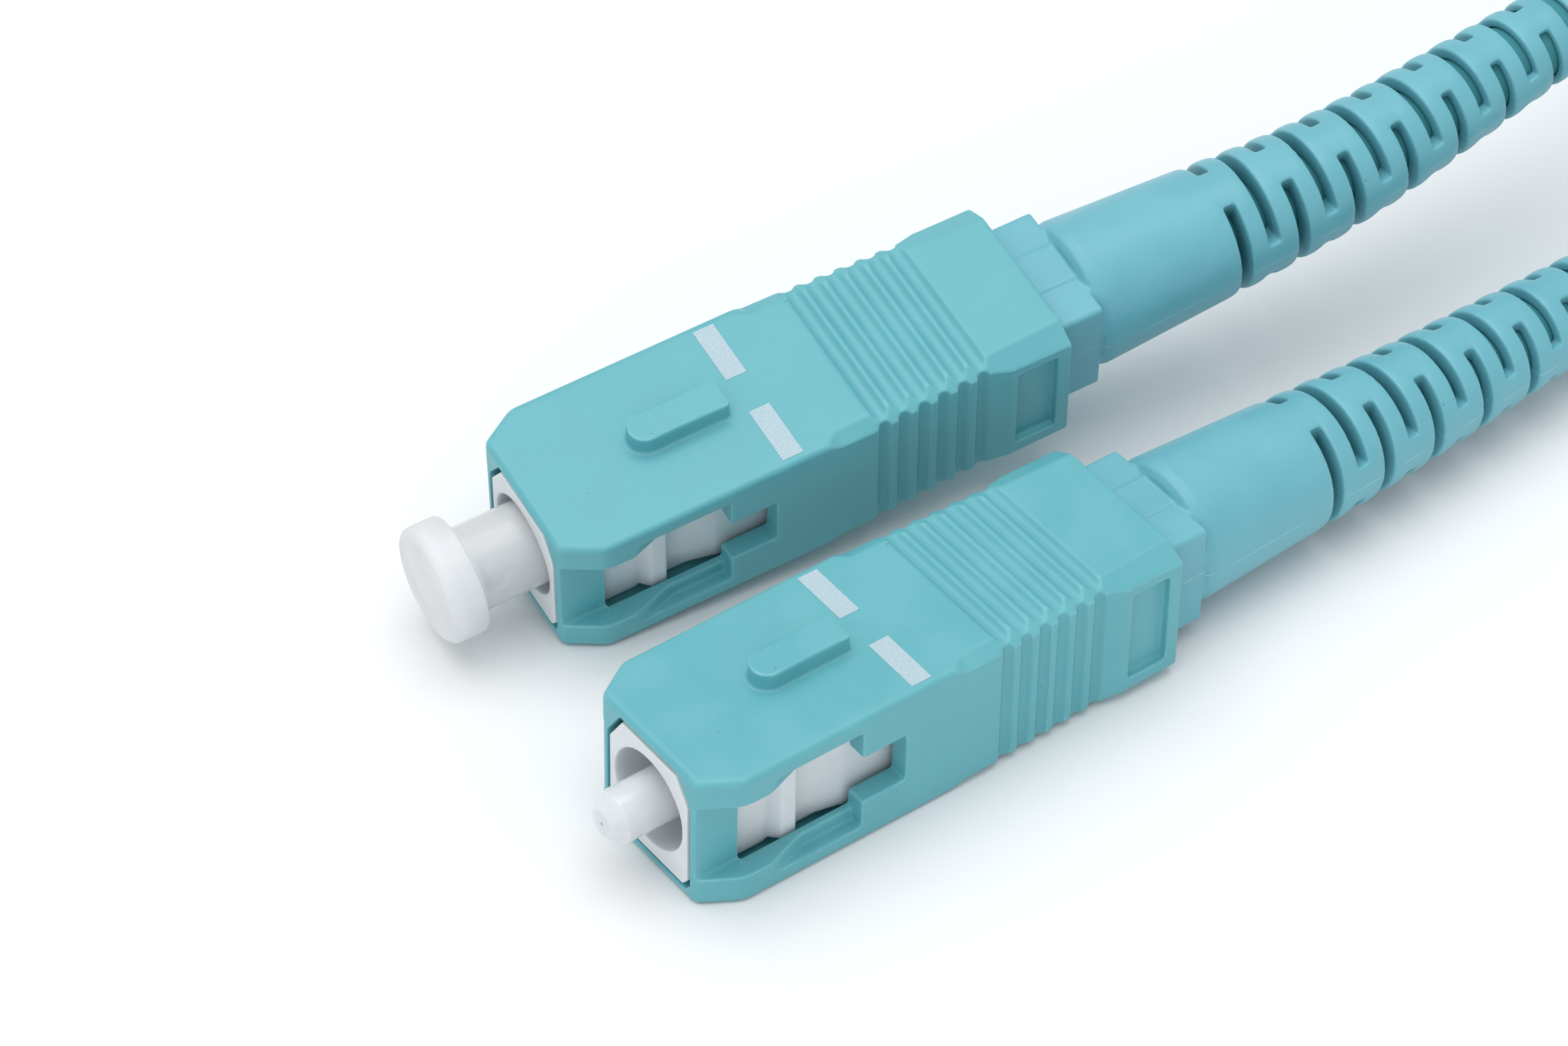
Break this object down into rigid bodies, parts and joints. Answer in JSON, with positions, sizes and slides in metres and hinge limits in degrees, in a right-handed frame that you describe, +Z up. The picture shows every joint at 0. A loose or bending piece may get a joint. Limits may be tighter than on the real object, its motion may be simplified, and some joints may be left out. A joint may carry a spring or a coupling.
{
  "type": "fiber optic patch cord",
  "caption": "Fiber optic patch cord with push-pull connectors: sliding aqua housings, ceramic ferrules, slotted strain-relief boots, a dust cap and a jacketed cable folded into a strapped hank.",
  "frame": {"origin": "bottom centre of the connectors and boots, on the surface that they lie on; the free cable and its hank are left out of that box", "axes": "+X along connector B from its front to its rear and on to the hank, +Y from connector B toward connector A, +Z up through the keys"},
  "size_m": [0.1452, 0.0295, 0.0151],
  "materials": {
    "housing": "fine satin moulded aqua plastic",
    "frame": "white moulded plastic",
    "ferrule": "polished white zirconia",
    "metal": "nickel plated",
    "spring_wire": "drawn spring wire",
    "boot": "soft satin aqua elastomer",
    "cable": "smooth extruded aqua jacket",
    "cap": "translucent milky plastic",
    "tie": "black woven strap"
  },
  "bodies": {
    "cord": {"plug_frame_a": "frame", "spring_a": "spring_wire", "stop_ring_a": "metal", "crimp_ring_a": "metal", "cable_core_a": "cable", "boot_a": "boot", "plug_frame_b": "frame", "spring_b": "spring_wire", "stop_ring_b": "metal", "crimp_ring_b": "metal", "cable_core_b": "cable", "boot_b": "boot", "cable_lead_a": "cable", "cable_lead_b": "cable", "cable_hank": "cable", "cable_tie": "tie"},
    "housing_a": {"outer_housing_a": "housing"},
    "housing_b": {"outer_housing_b": "housing"},
    "floating_ferrule_a": {"ferrule_a": "ferrule", "ferrule_flange_a": "metal", "fibre_buffer_a": "cable"},
    "floating_ferrule_b": {"ferrule_b": "ferrule", "ferrule_flange_b": "metal", "fibre_buffer_b": "cable"},
    "cap": {"dust_cap": "cap"}
  },
  "joints": [
    {"name": "housing_slide_a", "type": "slide", "parent": "cord", "child": "housing_a", "axis": [0.9864, -0.1281, 0.1028], "range_m": [0, 0.0016]},
    {"name": "housing_slide_b", "type": "slide", "parent": "cord", "child": "housing_b", "axis": [1, 0, 0], "range_m": [0, 0.0016]},
    {"name": "ferrule_float_a", "type": "slide", "parent": "cord", "child": "floating_ferrule_a", "axis": [0.9864, -0.1281, 0.1028], "range_m": [0, 0.001], "stiffness_N_per_m": 1000, "springref_m": -0.008, "deforming": ["spring_a"]},
    {"name": "ferrule_float_b", "type": "slide", "parent": "cord", "child": "floating_ferrule_b", "axis": [1, 0, 0], "range_m": [0, 0.001], "stiffness_N_per_m": 1000, "springref_m": -0.008, "deforming": ["spring_b"]},
    {"name": "dust_cap_pull", "type": "slide", "parent": "floating_ferrule_a", "child": "cap", "axis": [-0.9864, 0.1281, -0.1028], "range_m": [0, 0.0082]}
  ]
}
